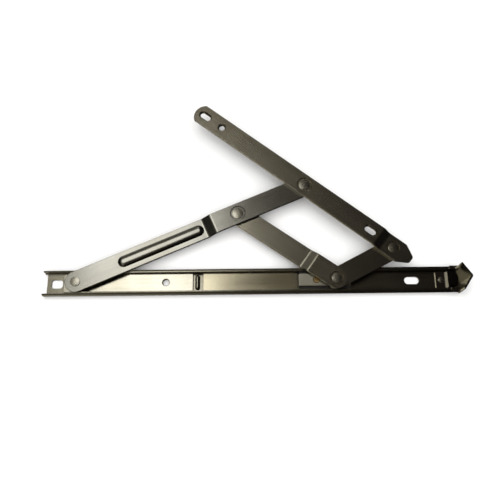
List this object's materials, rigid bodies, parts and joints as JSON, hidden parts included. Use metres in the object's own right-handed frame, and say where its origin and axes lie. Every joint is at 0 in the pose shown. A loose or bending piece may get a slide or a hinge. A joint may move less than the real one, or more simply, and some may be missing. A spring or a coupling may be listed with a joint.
{
  "type": "friction stay hinge",
  "caption": "Flat stainless friction stay: a channel track, four linked arms, a braked slider and an end cap that guide and hold an opening window sash.",
  "frame": {"origin": "centre of the track's underside, the face that lies against the window frame", "axes": "+X along the track to the end cap, +Y to the side the sash opens to, +Z out of the track along every pivot"},
  "size_m": [0.3, 0.1449, 0.0135],
  "materials": {
    "track_steel": "rolled stainless, satin",
    "insert_steel": "bright stainless strip",
    "arm_steel": "brushed stainless sheet",
    "cap_steel": "pressed stainless",
    "rivet_steel": "turned, burnished",
    "brass": "turned brass",
    "nylon": "moulded nylon",
    "pad": "acetal pad",
    "washer": "thin acetal washer"
  },
  "bodies": {
    "track": {"track": "track_steel", "pivot_plate": "insert_steel", "stop_strip": "insert_steel", "pivot_spacer": "insert_steel", "end_cap": "cap_steel", "nose_rest": "cap_steel", "rivet_main": "rivet_steel", "rivet_cap": "rivet_steel", "washer_main": "washer"},
    "main_arm": {"main_arm": "arm_steel", "rivet_support": "rivet_steel", "rivet_sash": "rivet_steel", "washer_support": "washer", "washer_sash": "washer"},
    "support_arm": {"support_arm": "arm_steel"},
    "short_arm": {"short_arm": "arm_steel"},
    "slider": {"slider_block": "nylon", "slider_cover": "insert_steel", "friction_pad": "pad", "rivet_slider": "rivet_steel", "washer_slider_low": "washer", "washer_slider_high": "washer"},
    "friction_screw": {"friction_screw": "brass"},
    "sash_bar": {"sash_bar": "arm_steel", "rivet_short": "rivet_steel", "washer_short": "washer"}
  },
  "joints": [
    {"name": "main_arm_swing", "type": "hinge", "parent": "track", "child": "main_arm", "pos_m": [-0.1264, 0, 0], "axis": [0, 0, 1], "range_deg": [-23.15, 0]},
    {"name": "support_arm_swing", "type": "hinge", "parent": "main_arm", "child": "support_arm", "pos_m": [-0.01238, 0.04875, 0], "axis": [0, 0, 1], "range_deg": [0, 58.54]},
    {"name": "sash_bar_swing", "type": "hinge", "parent": "main_arm", "child": "sash_bar", "pos_m": [0.03607, 0.06947, 0], "axis": [0, 0, 1], "range_deg": [0, 61.31]},
    {"name": "short_arm_swing", "type": "hinge", "parent": "support_arm", "child": "short_arm", "pos_m": [0.05627, 0, 0], "axis": [0, 0, 1], "range_deg": [-63.08, 0]},
    {"name": "slider_pivot", "type": "hinge", "parent": "support_arm", "child": "slider", "pos_m": [0.05627, 0, 0], "axis": [0, 0, 1], "range_deg": [-35.39, 0]},
    {"name": "friction_screw_turn", "type": "hinge", "parent": "slider", "child": "friction_screw", "pos_m": [0.04267, 0, 0], "axis": [0, 0, 1], "range_deg": [-180, 180]}
  ],
  "couplings": [
    {"joint": "support_arm_swing", "follows": "main_arm_swing", "ratio": -2.5282},
    {"joint": "sash_bar_swing", "follows": "main_arm_swing", "ratio": -2.6479},
    {"joint": "short_arm_swing", "follows": "main_arm_swing", "ratio": 2.7245},
    {"joint": "slider_pivot", "follows": "main_arm_swing", "ratio": 1.5282}
  ]
}
